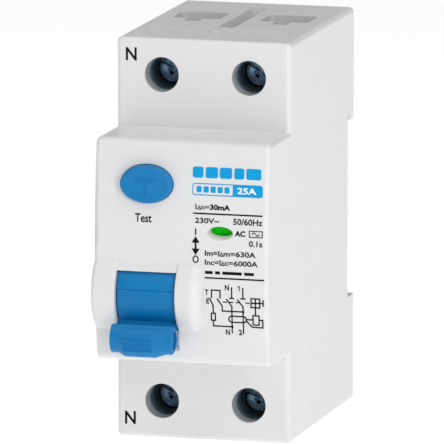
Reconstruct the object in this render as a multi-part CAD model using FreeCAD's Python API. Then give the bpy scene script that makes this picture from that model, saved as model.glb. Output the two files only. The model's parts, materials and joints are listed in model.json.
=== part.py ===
import FreeCAD, Part
import math
import os

# Residual current device, two poles, two modules wide, for a 35 mm top-hat rail.
# Frame: X to the right, Y from the front towards the rail, Z up, in millimetres.
# Origin: middle of the width, on the plane that rests on the rail, middle of the height.

# ---- driving dimensions: housing ----
WIDTH = 36.0
HEIGHT = 81.4
SHOULDER_Y = -45.5        # front face of the two shoulders
FOOT_Y = 5.5              # back face of the two feet, behind the rail face
NOSE_TOP = 22.8
NOSE_BOTTOM = -22.2
NOSE_EDGE_Y = -61.0       # nose front at its top and bottom edges
NOSE_CROWN_Y = -62.6      # nose front at its middle: it is bowed
RAIL_TOP = 17.9           # upper end of the rail recess
RAIL_BOTTOM = -18.7       # lower end of the rail recess
HOOK_DEPTH = 1.2          # undercut that holds the upper rail edge
HOOK_GAP = 1.4
SEAT_RELIEF = 0.2         # the seat is stepped back where the hook and the clip overhang it
EDGE_ROUND = 1.0
NOSE_ROUND = 1.8

SIDE_WALL = 1.4
COVER_THICK = 1.2
TOP_WALL = 2.0
NOSE_WALL = 2.0
SHOULDER_WALL = 3.5
BACK_WALL = 1.6
RIB = 1.2
RUNNING = 0.05            # radial clearance of running fits

# ---- driving dimensions: terminals ----
POLE_X = (-8.65, 9.4)     # screw axes, neutral then phase
SCREW_Z = (33.4, -33.1)   # screw axes, line side then load side
ACCESS_R = 3.55
HEAD_R = 3.2
HEAD_FRONT = -36.4
HEAD_THICK = 3.0
SHANK_R = 2.45
SLEEVE_IN = 3.3
SLEEVE_OUT = 4.1
SLEEVE_BACK = -33.0
BAR_FRONT = -19.5
BAR_THICK = 1.5
BAR_HALF = 3.5
CAGE_HALF = 5.3
CAGE_WALL = 1.2
CAGE_HIGH = 8.0
CAGE_FRONT = -25.5
CAGE_THREAD = 3.0
CAGE_BACK = -8.0
ENTRY_X = 9.2             # middle of the wire entries, left and right
ENTRY_HALF = 5.0
ENTRY_Y = (-18.1, -9.5)
NOTCH_HALF = 1.55
NOTCH_FRONT = -21.6
FLOOR_Z = 26.0            # rib between terminal chamber and mechanism

# ---- driving dimensions: toggle ----
TOGGLE_Y = -56.7
TOGGLE_Z = -8.4
HUB_R = 7.8
HUB_X = (-12.8, -0.8)
WING_OVERHANG = 0.45      # the grip's ends pass over the cheeks
WINDOW_X = (-13.0, -0.6)
WINDOW_R = 8.15
CHEEK_R = 8.9
LIP_TOP = -2.3
LIP_BOTTOM = -3.45
LIP_FRONT = -63.45
AXLE_R = 1.5
CRANK_R = 4.0
CRANK_RISE = 30.0         # degrees above the rearward direction, at rest
LINK_X = -6.8
LINK_WIRE_R = 0.5
LATCH_Y = -36.0
LATCH_Z = -6.0
LATCH_END_Y = -45.5
LATCH_END_Z = 0.0
LATCH_PLAY = 0.6          # radial room for the link pin in its slot

# ---- driving dimensions: test button ----
BUTTON_X = -7.05
BUTTON_Z = 14.1
BUTTON_WIDE = 10.7
BUTTON_HIGH = 7.6
BUTTON_FRONT = -63.7
BUTTON_GAP = 0.15
BUTTON_FLANGE = 0.7
STEM_R = 2.0
STEM_END = -50.6
LETTER_DEPTH = 0.15

# ---- driving dimensions: indicator ----
FLAG_X = 8.1
FLAG_Z = 5.0
FLAG_OPEN_WIDE = 4.7
FLAG_OPEN_HIGH = 2.0
FLAG_FLARE_WIDE = 5.4    # the window flares towards the front, most at its lower edge
FLAG_FLARE_HIGH = 2.9
FLAG_FRONT = -59.9
FLAG_THICK = 1.0

# ---- driving dimensions: contacts ----
SHAFT_Y = -27.0
SHAFT_Z = 4.0
SHAFT_R = 1.0
BARREL_R = 4.0
OPEN_ANGLE = 15.0
CONTACT_Z = 20.0
CONTACT_R = 2.2
ARM_HALF = 2.5
ARM_THICK = 1.5

# ---- driving dimensions: transformer and relay ----
CORE_X = 0.4
CORE_Y = -15.5
CORE_Z = (-16.8, -9.2)
CORE_R = (7.2, 11.8)
TURN_THICK = 0.6
TURN_COUNT = 28
PRIMARY_R = 1.2
RELAY_X = (3.6, 15.6)
RELAY_Y = (-56.0, -38.0)
RELAY_Z = (-20.0, -8.0)
RELAY_WALL = 0.7
PLUNGER_X = 9.6
PLUNGER_Y = -52.0
PLUNGER_R = 1.2
PLUNGER_TOP = -5.6
TRIP_Y = -44.0
TRIP_Z = -4.0
TRIP_AXLE_R = 0.75

# ---- driving dimensions: rail clip ----
CLIP_HALF = 5.0
CLIP_Y = (1.3, 4.1)
CLIP_TOP = -15.1
CLIP_END = -40.4
CLIP_GAP = 0.3
CLIP_WINDOW = (-33.0, -23.0)
LEDGE_Z = (-32.5, -31.0)

LEFT = -WIDTH / 2
RIGHT = WIDTH / 2
INNER_LEFT = LEFT + SIDE_WALL
SEAM_X = RIGHT - COVER_THICK
TOP = HEIGHT / 2
NOSE_INNER_Y = NOSE_CROWN_Y + NOSE_WALL
SHOULDER_INNER_Y = SHOULDER_Y + SHOULDER_WALL
BACK_INNER_Y = -BACK_WALL
BAR_BACK = BAR_FRONT + BAR_THICK
SIDES = (1, -1)           # line side is up, load side is down

RIVETS = ((-39.0, 23.4), (-39.0, -23.4), (-6.0, 22.0), (-6.0, -22.0))
RIVET_R = 1.25
BOSS_R = 2.4

X_AXIS = FreeCAD.Vector(1, 0, 0)


# ---- helpers ----
def vec(x, y, z):
    return FreeCAD.Vector(x, y, z)


def box(x, y, z):
    """A block from its (low, high) pair along each axis."""
    return Part.makeBox(x[1] - x[0], y[1] - y[0], z[1] - z[0], vec(x[0], y[0], z[0]))


def rod(radius, start, end):
    """A round rod between the middles of its two ends."""
    first = vec(*start)
    along = vec(*end) - first
    return Part.makeCylinder(radius, along.Length, first, along)


def cross_rod(radius, x, y, z):
    """A rod along X at (y, z), from x[0] to x[1]."""
    return rod(radius, (x[0], y, z), (x[1], y, z))


def depth_rod(radius, x, y, z):
    """A rod along Y at (x, z), from y[0] to y[1]."""
    return rod(radius, (x, y[0], z), (x, y[1], z))


def fuse(shapes):
    shapes = list(shapes)
    joined = shapes[0].multiFuse(shapes[1:]) if len(shapes) > 1 else shapes[0]
    return joined.removeSplitter()


def outline(points, x):
    """A side-view polygon of (y, z) points, extruded along X."""
    corners = [vec(x[0], y, z) for y, z in points]
    face = Part.Face(Part.makePolygon(corners + corners[:1]))
    return face.extrude(vec(x[1] - x[0], 0, 0))


def side_face(edges):
    return Part.Face(Part.Wire(Part.__sortEdges__(edges)))


def line(first, second):
    return Part.LineSegment(first, second).toShape()


def arc(first, middle, last):
    return Part.Arc(first, middle, last).toShape()


def oval_wire(wide, high, x, z, y):
    ellipse = Part.Ellipse(vec(x, y, z), wide / 2, high / 2)
    ellipse.Axis = vec(0, 1, 0)
    ellipse.XAxis = X_AXIS
    return Part.Wire(ellipse.toShape())


def oval(wide, high, x, z, y):
    """An elliptical slab along Y about (x, z), from y[0] to y[1]."""
    face = Part.Face(oval_wire(wide, high, x, z, y[0]))
    return face.extrude(vec(0, y[1] - y[0], 0))


def coil(radius, wire_r, turns, start, along, length):
    """A compression spring: a round wire on a helix that starts at one point."""
    pitch = length / turns
    helix = Part.makeHelix(pitch, length, radius)
    section = Part.Wire(Part.makeCircle(wire_r, vec(radius, 0, 0), vec(0, 1, 0)))
    spring = Part.Wire(helix).makePipeShell([section], True, True)
    if along[2] == 0:
        spring.rotate(vec(0, 0, 0), vec(0, 0, 1).cross(vec(*along)), 90)
    spring.translate(vec(*start))
    return spring


def bent_wire(points, wire_r, bend):
    """A round wire along straight runs joined by tangent arcs of one bend radius."""
    route = [vec(*p) for p in points]
    edges = []
    last = route[0]
    for before, corner, after in zip(route, route[1:], route[2:]):
        arriving = (corner - before).normalize()
        leaving = (after - corner).normalize()
        turn = arriving.getAngle(leaving)
        reach = bend * math.tan(turn / 2)
        first = corner - arriving * reach
        end = corner + leaving * reach
        inward = (leaving - arriving).normalize()
        middle = corner + inward * (bend / math.cos(turn / 2) - bend)
        edges.append(line(last, first))
        edges.append(arc(first, middle, end))
        last = end
    edges.append(line(last, route[-1]))
    path = Part.Wire(edges)
    section = Part.Wire(Part.makeCircle(wire_r, route[0], route[1] - route[0]))
    return path.makePipeShell([section], True, True)


def turned(shape, degrees, y, z):
    """A copy turned about an axis along X through (y, z)."""
    copy = shape.copy()
    copy.rotate(vec(0, y, z), X_AXIS, degrees)
    return copy


def group(shapes):
    return Part.makeCompound(list(shapes))


def nose_y(z):
    """Depth of the bowed nose front at height z."""
    middle = (NOSE_TOP + NOSE_BOTTOM) / 2
    half = (NOSE_TOP - NOSE_BOTTOM) / 2
    sag = NOSE_EDGE_Y - NOSE_CROWN_Y
    radius = (half ** 2 + sag ** 2) / (2 * sag)
    return NOSE_CROWN_Y + radius - math.sqrt(radius ** 2 - (z - middle) ** 2)


# ---- housing ----
def nose_block(across, inset=0.0):
    """The bowed nose from across[0] to across[1], or the same block set in from its outline."""
    top = NOSE_TOP - inset
    bottom = NOSE_BOTTOM + inset
    middle = (NOSE_TOP + NOSE_BOTTOM) / 2
    back = SHOULDER_INNER_Y + 0.5
    x = across[0]
    corner_top = vec(x, NOSE_EDGE_Y + inset, top)
    corner_bottom = vec(x, NOSE_EDGE_Y + inset, bottom)
    edges = [
        line(vec(x, back, top), corner_top),
        arc(corner_top, vec(x, NOSE_CROWN_Y + inset, middle), corner_bottom),
        line(corner_bottom, vec(x, back, bottom)),
        line(vec(x, back, bottom), vec(x, back, top)),
    ]
    return side_face(edges).extrude(vec(across[1] - across[0], 0, 0))


def on_side(edge, x):
    return abs(edge.BoundBox.XMin - x) < 1e-4 and abs(edge.BoundBox.XMax - x) < 1e-4


def rounded_nose():
    block = nose_block((LEFT, RIGHT))
    front = []
    ends = []
    for edge in block.Edges:
        b = edge.BoundBox
        if b.XLength > WIDTH - 1 and b.YMax < SHOULDER_Y - 5:
            ends.append(edge)
    block = block.makeFillet(NOSE_ROUND, ends)
    for edge in block.Edges:
        b = edge.BoundBox
        side = on_side(edge, LEFT) or on_side(edge, RIGHT)
        if side and b.YMin < SHOULDER_Y + 2.9 - 1e-3:
            front.append(edge)
    return block.makeFillet(EDGE_ROUND, front)


def rounded_body():
    block = box((LEFT, RIGHT), (SHOULDER_Y, FOOT_Y), (-TOP, TOP))
    edges = []
    for edge in block.Edges:
        b = edge.BoundBox
        at_front = b.YMax < SHOULDER_Y + 1e-3
        at_end = b.XLength < 1e-3 and b.ZLength < 1e-3
        at_back_side = b.YMin > FOOT_Y - 1e-3
        if at_front or at_end or at_back_side:
            edges.append(edge)
    return block.makeFillet(EDGE_ROUND, edges)


def cheek(x, inner_round, outer_x, outer_round):
    """A raised round cheek beside the toggle: a profile of (x, radius) turned about the axle."""
    inner = x
    step = 1 if outer_x > inner else -1
    def at(px, r):
        return vec(px, TOGGLE_Y, TOGGLE_Z + r)
    k = math.sqrt(0.5)
    foot = CHEEK_R - outer_round
    top_in = inner + step * inner_round
    top_out = outer_x - step * outer_round
    low_in = CHEEK_R - inner_round
    edges = [
        line(at(inner, 0), at(inner, low_in)),
        arc(at(inner, low_in), at(top_in - step * k * inner_round, low_in + k * inner_round),
            at(top_in, CHEEK_R)),
        line(at(top_in, CHEEK_R), at(top_out, CHEEK_R)),
        arc(at(top_out, CHEEK_R), at(top_out + step * k * outer_round, foot + k * outer_round),
            at(outer_x, foot)),
        line(at(outer_x, foot), at(outer_x, 0)),
        line(at(outer_x, 0), at(inner, 0)),
    ]
    face = side_face(edges)
    return face.revolve(vec(0, TOGGLE_Y, TOGGLE_Z), X_AXIS, 360)


def shell_outside():
    """Everything the hand can touch, before it is hollowed and split."""
    left = cheek(WINDOW_X[0], 0.4, LEFT, EDGE_ROUND)
    right = cheek(WINDOW_X[1], 0.4, 4.7, 2.6)
    lip = outline(((nose_y(LIP_TOP), LIP_TOP), (LIP_FRONT, LIP_BOTTOM + 0.3), (LIP_FRONT, LIP_BOTTOM),
                   (NOSE_EDGE_Y, LIP_BOTTOM), (NOSE_EDGE_Y, LIP_TOP)), WINDOW_X)
    solid = fuse([rounded_body(), rounded_nose(), left, right, lip])
    recess = box((LEFT - 1, RIGHT + 1), (0, FOOT_Y + 1), (RAIL_BOTTOM, RAIL_TOP))
    hook = box((LEFT - 1, RIGHT + 1), (-SEAT_RELIEF, HOOK_GAP), (RAIL_TOP - 0.1, RAIL_TOP + HOOK_DEPTH))
    wide = CLIP_HALF + CLIP_GAP
    clip_land = box((-wide, wide), (-SEAT_RELIEF, 1), (RAIL_BOTTOM, CLIP_TOP + CLIP_GAP))
    return solid.cut(fuse([recess, hook, clip_land]))


def terminal_entry(x, side):
    """T-shaped wire entry through the end wall."""
    z = sorted((side * (TOP - TOP_WALL - 1), side * (TOP + 1)))
    wide = box((x - ENTRY_HALF, x + ENTRY_HALF), ENTRY_Y, z)
    wide = wide.makeFillet(1.2, [e for e in wide.Edges if e.BoundBox.ZLength > 1])
    notch = box((x - NOTCH_HALF, x + NOTCH_HALF), (NOTCH_FRONT, ENTRY_Y[0] + 2), z)
    return fuse([wide, notch])


def end_pockets(side):
    """Shallow pockets and the middle groove in the top or bottom face."""
    def pocket(x, y, deep):
        return box(x, y, sorted((side * (TOP - deep), side * (TOP + 1))))
    return [
        pocket((-15.3, -3.3), (-34.9, -31.0), 1.4),
        pocket((3.3, 15.0), (-34.8, -30.8), 1.4),
        pocket((-2.1, 1.7), (-35.5, -31.2), 1.0),
        pocket((-16.8, -13.6), (-41.0, -37.0), 0.8),
        pocket((-1.7, 1.6), (-28.0, -1.2), 5.0),
    ]


def housing_cavity():
    inner_x = (INNER_LEFT, SEAM_X + 0.1)
    nose = nose_block(inner_x, NOSE_WALL)
    room = box(inner_x, (SHOULDER_INNER_Y, BACK_INNER_Y), (-TOP + TOP_WALL, TOP - TOP_WALL))
    return fuse([nose, room])


def housing_ribs():
    """Walls inside the cup: chamber floors, middle blocks, guides and bosses."""
    across = (INNER_LEFT - 0.2, SEAM_X)
    ribs = []
    for side in SIDES:
        floor = sorted((side * FLOOR_Z, side * (FLOOR_Z + RIB)))
        chamber = sorted((side * FLOOR_Z, side * (TOP - TOP_WALL + 0.2)))
        ribs.append(box(across, (SHOULDER_INNER_Y - 0.2, BACK_INNER_Y + 0.2), floor))
        ribs.append(box((-3.25, 3.4), (SHOULDER_INNER_Y - 0.2, BACK_INNER_Y + 0.2), chamber))
        ribs.append(box(across, (CAGE_BACK + 0.8, CAGE_BACK + 2.0), chamber))
    window_back = box((WINDOW_X[0] - 1, WINDOW_X[1] + 1), (NOSE_INNER_Y - 0.2, -58.2), (-20.3, -13.5))
    axle_rib = box((-0.4, 1.2), (NOSE_INNER_Y - 0.2, -50.0), (-20.3, 0.5))
    spring_rib = box((INNER_LEFT - 0.2, -1.6), (-52.0, -50.8), (8.6, 20.9))
    flag_guides = [box((x - 0.5, x + 0.5), (NOSE_INNER_Y - 0.2, -58.2), (-2.0, 13.0))
                   for x in (FLAG_X - 4.7, FLAG_X + 4.7)]
    bosses = [cross_rod(BOSS_R, across, y, z) for y, z in RIVETS]
    return ribs + [window_back, axle_rib, spring_rib] + flag_guides + bosses


def foot_channel():
    """Room in the lower foot for the sliding rail clip, and its spring ledge."""
    wide = (-CLIP_HALF - CLIP_GAP, CLIP_HALF + CLIP_GAP)
    deep = (CLIP_Y[0] - CLIP_GAP, CLIP_Y[1] + CLIP_GAP)
    channel = box(wide, deep, (-TOP - 1, RAIL_BOTTOM + 0.1))
    tool_notch = box(wide, (deep[0], FOOT_Y + 1), (-TOP - 1, -35.5))
    ledge = box((-1.5, 1.5), deep, LEDGE_Z)
    return fuse([channel, tool_notch]).cut(ledge)


def housing_holes():
    holes = []
    for z in SCREW_Z:
        for x in POLE_X:
            holes.append(depth_rod(ACCESS_R, x, (SHOULDER_Y - 1, SHOULDER_INNER_Y), z))
    for side in SIDES:
        holes += [terminal_entry(x, side) for x in (-ENTRY_X, ENTRY_X)]
        holes += end_pockets(side)
        for x in POLE_X:
            floor = sorted((side * (FLOOR_Z - 1), side * (FLOOR_Z + RIB + 1)))
            holes.append(box((x - BAR_HALF - 0.1, x + BAR_HALF + 0.1),
                             (BAR_FRONT - 0.1, BAR_BACK + 0.1), floor))
    window = cross_rod(WINDOW_R, WINDOW_X, TOGGLE_Y, TOGGLE_Z)
    pocket = outline(((-70.0, -19.6), (nose_y(-19.6), -19.6), (-60.6, -18.4), (-60.6, -9.0),
                      (-70.0, -9.0)), WINDOW_X)
    axle = cross_rod(AXLE_R, (LEFT + 0.6, 2.0), TOGGLE_Y, TOGGLE_Z)
    button = oval(BUTTON_WIDE + 2 * BUTTON_GAP, BUTTON_HIGH + 2 * BUTTON_GAP,
                  BUTTON_X, BUTTON_Z, (-70.0, NOSE_INNER_Y + 2))
    stem = depth_rod(STEM_R + RUNNING * 4, BUTTON_X, (-53.0, -50.0), BUTTON_Z)
    flag = oval(FLAG_OPEN_WIDE, FLAG_OPEN_HIGH, FLAG_X, FLAG_Z, (-70.0, NOSE_INNER_Y + 2))
    flare = Part.makeLoft([
        oval_wire(FLAG_OPEN_WIDE, FLAG_OPEN_HIGH, FLAG_X, FLAG_Z, -61.0),
        oval_wire(FLAG_FLARE_WIDE, FLAG_FLARE_HIGH, FLAG_X, FLAG_Z - 0.25, -62.7),
    ], True)
    rivets = [cross_rod(RIVET_R, (LEFT - 1, SEAM_X + 1), y, z) for y, z in RIVETS]
    heads = [cross_rod(2.3, (LEFT - 1, LEFT + 0.8), y, z) for y, z in RIVETS]
    return holes + [window, pocket, axle, button, stem, flag, flare, foot_channel()] + rivets + heads


def main_housing(outside):
    cup = outside.common(box((LEFT - 1, SEAM_X), (-80, 20), (-60, 60)))
    hollow = cup.cut(housing_cavity())
    filled = fuse([hollow] + [rib.common(cup) for rib in housing_ribs()])
    return filled.cut(fuse(housing_holes())).removeSplitter()


def side_cover(outside):
    plate = outside.common(box((SEAM_X, RIGHT + 1), (-80, 20), (-60, 60)))
    holes = [cross_rod(RIVET_R, (SEAM_X - 1, RIGHT - 0.3), y, z) for y, z in RIVETS]
    return plate.cut(fuse(holes))


def housing_rivets():
    rivets = []
    for y, z in RIVETS:
        shank = cross_rod(RIVET_R, (LEFT + 0.2, RIGHT - 0.3), y, z)
        head = cross_rod(2.25, (LEFT + 0.1, LEFT + 0.8), y, z)
        rivets.append(fuse([shank, head]))
    return group(rivets)


# ---- terminals ----
def terminal_screw(x, z):
    head = depth_rod(HEAD_R, x, (HEAD_FRONT, HEAD_FRONT + HEAD_THICK), z)
    front = [e for e in head.Edges if e.BoundBox.YMax < HEAD_FRONT + 0.01]
    head = head.makeChamfer(0.4, front)
    shank = depth_rod(SHANK_R, x, (HEAD_FRONT + HEAD_THICK, BAR_FRONT - 0.1), z)
    slot = box((x - HEAD_R, x + HEAD_R), (HEAD_FRONT - 0.1, HEAD_FRONT + 1.1), (z - 0.55, z + 0.55))
    cross = box((x - 0.6, x + 0.6), (HEAD_FRONT - 0.1, HEAD_FRONT + 1.6), (z - 2.1, z + 2.1))
    return fuse([head, shank]).cut(fuse([slot, cross]))


def terminal_cage(x, z):
    """Square steel loop that the screw draws forward to clamp the wire on the bar."""
    high = (z - CAGE_HIGH / 2, z + CAGE_HIGH / 2)
    outer = box((x - CAGE_HALF, x + CAGE_HALF), (CAGE_FRONT, CAGE_BACK), high)
    long_edges = [e for e in outer.Edges if e.BoundBox.ZLength > 1]
    outer = outer.makeFillet(1.0, long_edges)
    inner = box((x - CAGE_HALF + CAGE_WALL, x + CAGE_HALF - CAGE_WALL),
                (CAGE_FRONT + CAGE_THREAD, CAGE_BACK - 1.4), (high[0] - 1, high[1] + 1))
    thread = depth_rod(SHANK_R + RUNNING, x, (CAGE_FRONT - 1, CAGE_FRONT + CAGE_THREAD + 1), z)
    return outer.cut(fuse([inner, thread]))


def terminal_bar(x, side):
    """Copper strip from the clamp, through the chamber floor, into the mechanism."""
    inner = CONTACT_Z - 2.6 if side > 0 else 24.5
    z = sorted((side * 37.4, side * inner))
    return box((x - BAR_HALF, x + BAR_HALF), (BAR_FRONT, BAR_BACK), z)


def screw_sleeves():
    sleeves = []
    for z in SCREW_Z:
        for x in POLE_X:
            tube = depth_rod(SLEEVE_OUT, x, (SHOULDER_INNER_Y, SLEEVE_BACK), z)
            bore = depth_rod(SLEEVE_IN, x, (SHOULDER_INNER_Y - 1, SLEEVE_BACK + 1), z)
            sleeves.append(tube.cut(bore))
    return group(sleeves)


# ---- toggle and mechanism ----
def leaf_profile(x, grip):
    """Side view of the toggle's finger grip, from x[0] to x[1]; grip deepens its free end."""
    upper = vec(x[0], -66.3, -13.65)
    crown = vec(x[0], -68.3 - 0.25 * grip, -16.9)
    tip = vec(x[0], -66.8, -19.4 - grip)
    under = vec(x[0], -63.4, -16.8)
    root_low = vec(x[0], -61.35, -14.65)
    root_high = vec(x[0], -62.55, -13.55)
    valley = vec(x[0], -64.3, -14.8)
    edges = [
        arc(upper, crown, tip),
        arc(tip, vec(x[0], -64.7, -18.9 - grip), under),
        line(under, root_low),
        line(root_low, vec(x[0], TOGGLE_Y, TOGGLE_Z)),
        line(vec(x[0], TOGGLE_Y, TOGGLE_Z), root_high),
        arc(root_high, valley, upper),
    ]
    return side_face(edges).extrude(vec(x[1] - x[0], 0, 0))


def toggle():
    hub = cross_rod(HUB_R, HUB_X, TOGGLE_Y, TOGGLE_Z)
    wings = leaf_profile(HUB_X, 0.0)
    ends = leaf_profile((HUB_X[0] - WING_OVERHANG, HUB_X[1] + WING_OVERHANG), 0.0)
    ends = ends.cut(cross_rod(CHEEK_R + 0.15, (HUB_X[0] - 1, HUB_X[1] + 1), TOGGLE_Y, TOGGLE_Z))
    grip = leaf_profile((HUB_X[0] + 2.6, HUB_X[1] - 3.2), 0.75)
    bore = cross_rod(AXLE_R + RUNNING, (HUB_X[0] - 1, HUB_X[1] + 1), TOGGLE_Y, TOGGLE_Z)
    link_room = (LINK_X - 1.2, LINK_X + 1.2)
    rear_slot = box(link_room, (TOGGLE_Y + 2.3, TOGGLE_Y + 9), (TOGGLE_Z - 1.5, TOGGLE_Z + 9))
    upper_slot = box(link_room, (TOGGLE_Y - 1.6, TOGGLE_Y + 9), (TOGGLE_Z + 2.4, TOGGLE_Z + 9))
    y, z = crank_point()
    pin_hole = cross_rod(LINK_WIRE_R + RUNNING, (LINK_X - 3.4, LINK_X + 3.4), y, z)
    return fuse([hub, wings, ends, grip]).cut(fuse([bore, rear_slot, upper_slot, pin_hole]))


def crank_point():
    angle = math.radians(CRANK_RISE)
    return TOGGLE_Y + CRANK_R * math.cos(angle), TOGGLE_Z + CRANK_R * math.sin(angle)


def link_wire():
    """Straight wire link with a cross pin at each end."""
    y, z = crank_point()
    shaft = rod(LINK_WIRE_R, (LINK_X, y, z), (LINK_X, LATCH_END_Y, LATCH_END_Z))
    near = cross_rod(LINK_WIRE_R, (LINK_X - 3.2, LINK_X + 3.2), y, z)
    far = cross_rod(LINK_WIRE_R, (LINK_X - 2.0, LINK_X + 2.0), LATCH_END_Y, LATCH_END_Z)
    return fuse([shaft, near, far])


def latch_lever():
    """Two steel cheeks on one axle; the link's far pin works in their open slots."""
    plates = []
    for x in ((LINK_X - 1.9, LINK_X - 1.1), (LINK_X + 1.1, LINK_X + 1.9)):
        arm = outline(((LATCH_Y - 1.5, LATCH_Z - 2.4), (LATCH_Y + 2.4, LATCH_Z - 2.4),
                       (LATCH_Y + 2.4, LATCH_Z + 2.4), (LATCH_END_Y + 1.0, LATCH_END_Z + 2.6),
                       (LATCH_END_Y - 2.4, LATCH_END_Z + 2.6), (LATCH_END_Y - 2.4, LATCH_END_Z - 1.6)),
                      x)
        pin_slot = cross_rod(LINK_WIRE_R + LATCH_PLAY, (x[0] - 1, x[1] + 1), LATCH_END_Y, LATCH_END_Z)
        plates.append(arm.cut(pin_slot))
    hub = cross_rod(1.9, (LINK_X - 1.9, LINK_X + 1.9), LATCH_Y, LATCH_Z)
    bore = cross_rod(1.0 + RUNNING, (LINK_X - 3, LINK_X + 3), LATCH_Y, LATCH_Z)
    return fuse(plates + [hub]).cut(bore)


def mechanism_frame():
    """Steel U-frame for the latch axle; its right plate also carries the trip lever's axle."""
    left = box((-11.6, -10.8), (-41.5, -31.6), (-16.0, -1.0))
    right = box((-2.8, -2.0), (-46.0, -31.6), (-16.0, -1.0))
    floor = box((-11.6, -2.0), (-41.5, -31.6), (-16.8, -16.0))
    latch_hole = cross_rod(1.0, (-12.0, -1.5), LATCH_Y, LATCH_Z)
    trip_hole = cross_rod(TRIP_AXLE_R, (-3.5, -1.5), TRIP_Y, TRIP_Z)
    return fuse([left, right, floor]).cut(fuse([latch_hole, trip_hole]))


def latch_axle():
    return cross_rod(1.0, (-11.6, -2.0), LATCH_Y, LATCH_Z)


def toggle_axle():
    return cross_rod(AXLE_R, (LEFT + 0.6, 1.2), TOGGLE_Y, TOGGLE_Z)


def toggle_spring():
    """Coil on the axle between the side wall and the hub."""
    return coil(2.6, 0.35, 3, (INNER_LEFT + 0.5, TOGGLE_Y, TOGGLE_Z), (1, 0, 0), 2.4)


# ---- contacts ----
def arm_closed(x):
    strip = box((x - ARM_HALF, x + ARM_HALF), (-23.2, -23.2 + ARM_THICK), (SHAFT_Z - 3.0, 22.2))
    return strip


def moving_contact(x):
    """Copper arm with its silver tip, turned to the open position."""
    tip = depth_rod(CONTACT_R, x, (-23.2 + ARM_THICK, BAR_FRONT - 1.1), CONTACT_Z)
    return turned(fuse([arm_closed(x), tip]), OPEN_ANGLE, SHAFT_Y, SHAFT_Z)


def fixed_contacts():
    return group([depth_rod(CONTACT_R, x, (BAR_FRONT - 1.0, BAR_FRONT), CONTACT_Z) for x in POLE_X])


def contact_carrier():
    """Insulating barrel with a cradle for each arm, turned to the open position."""
    barrel = cross_rod(BARREL_R, (-15.6, 15.8), SHAFT_Y, SHAFT_Z)
    cradles = []
    for x in POLE_X:
        cradles.append(box((x - 3.7, x + 3.7), (SHAFT_Y, -21.0), (SHAFT_Z - 3.0, SHAFT_Z + 5.5)))
        cradles.append(box((x - 3.0, x + 3.0), (-27.6, -26.2), (SHAFT_Z, 17.5)))
    body = fuse([barrel] + cradles)
    seats = [box((x - ARM_HALF, x + ARM_HALF), (-23.2, -23.2 + ARM_THICK), (0.0, 23.0)) for x in POLE_X]
    body = body.cut(fuse(seats + [cross_rod(SHAFT_R + RUNNING, (-17, 17), SHAFT_Y, SHAFT_Z)]))
    return turned(body, OPEN_ANGLE, SHAFT_Y, SHAFT_Z)


def contact_shaft():
    return cross_rod(SHAFT_R, (INNER_LEFT, SEAM_X), SHAFT_Y, SHAFT_Z)


def contact_springs():
    """One spring behind each arm, between the carrier's back plate and the copper."""
    springs = []
    for x in POLE_X:
        spring = coil(1.5, 0.2, 3, (x, -25.8, 15.0), (0, 1, 0), 2.2)
        springs.append(turned(spring, OPEN_ANGLE, SHAFT_Y, SHAFT_Z))
    return group(springs)


def arc_plates():
    plates = []
    for x in POLE_X:
        for step in range(4):
            z = 10.2 + 2.9 * step
            plate = box((x - 5.2, x + 5.2), (-39.0, -30.6), (z, z + 1.0))
            notch = box((x - 3.5, x + 3.5), (-33.6, -30.0), (z - 1, z + 2))
            plates.append(plate.cut(notch))
    return group(plates)


def arc_holders():
    """Fibre cheeks that hold the arc plates of each pole."""
    sides = []
    for x in POLE_X:
        for edge in (x - 6.0, x + 5.2):
            sides.append(box((edge, edge + 0.8), (-39.0, -30.6), (9.4, 20.7)))
    return group(sides)


# ---- transformer and relay ----
def transformer_core():
    outer = rod(CORE_R[1], (CORE_X, CORE_Y, CORE_Z[0]), (CORE_X, CORE_Y, CORE_Z[1]))
    inner = rod(CORE_R[0], (CORE_X, CORE_Y, CORE_Z[0] - 1), (CORE_X, CORE_Y, CORE_Z[1] + 1))
    return outer.cut(inner)


def secondary_winding():
    """Evenly spaced turns, each a flat loop round the core's section."""
    turns = []
    gap = 0.2
    for index in range(TURN_COUNT):
        outer = box((CORE_R[0] - gap - TURN_THICK, CORE_R[1] + gap + TURN_THICK), (-0.3, 0.3),
                    (CORE_Z[0] - gap - TURN_THICK, CORE_Z[1] + gap + TURN_THICK))
        inner = box((CORE_R[0] - gap, CORE_R[1] + gap), (-1, 1), (CORE_Z[0] - gap, CORE_Z[1] + gap))
        turn = outer.cut(inner)
        turn.rotate(vec(0, 0, 0), vec(0, 0, 1), 360.0 * index / TURN_COUNT)
        turn.translate(vec(CORE_X, CORE_Y, 0))
        turns.append(turn)
    return group(turns)


def primary_conductor(x):
    """Copper wire from the load bar, up through the core, to the moving contact's braid."""
    inner = CORE_X + math.copysign(2.6, x)
    middle = (BAR_FRONT + BAR_BACK) / 2
    points = ((x, middle, -24.5), (x, middle, -21.2), (inner, CORE_Y, -19.6), (inner, CORE_Y, -5.2),
              (x, -17.5, -4.0), (x, -17.5, -0.5))
    return bent_wire(points, PRIMARY_R, 1.6)


def contact_braids():
    """Flexible copper braid from each primary conductor to its moving arm."""
    braids = []
    for x in POLE_X:
        points = ((x, -17.5, -0.5), (x, -17.5, 12.2), (x, -19.3, 15.3), (x, -24.14, 14.0))
        braids.append(bent_wire(points, 0.9, 1.2))
    return group(braids)


def relay_case():
    outer = box(RELAY_X, RELAY_Y, RELAY_Z)
    inner = box((RELAY_X[0] + RELAY_WALL, RELAY_X[1] - RELAY_WALL),
                (RELAY_Y[0] + RELAY_WALL, RELAY_Y[1] - RELAY_WALL),
                (RELAY_Z[0] + RELAY_WALL, RELAY_Z[1] - RELAY_WALL))
    hole = rod(PLUNGER_R + 0.2, (PLUNGER_X, PLUNGER_Y, RELAY_Z[1] - 2), (PLUNGER_X, PLUNGER_Y, RELAY_Z[1] + 1))
    return outer.cut(fuse([inner, hole]))


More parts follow.
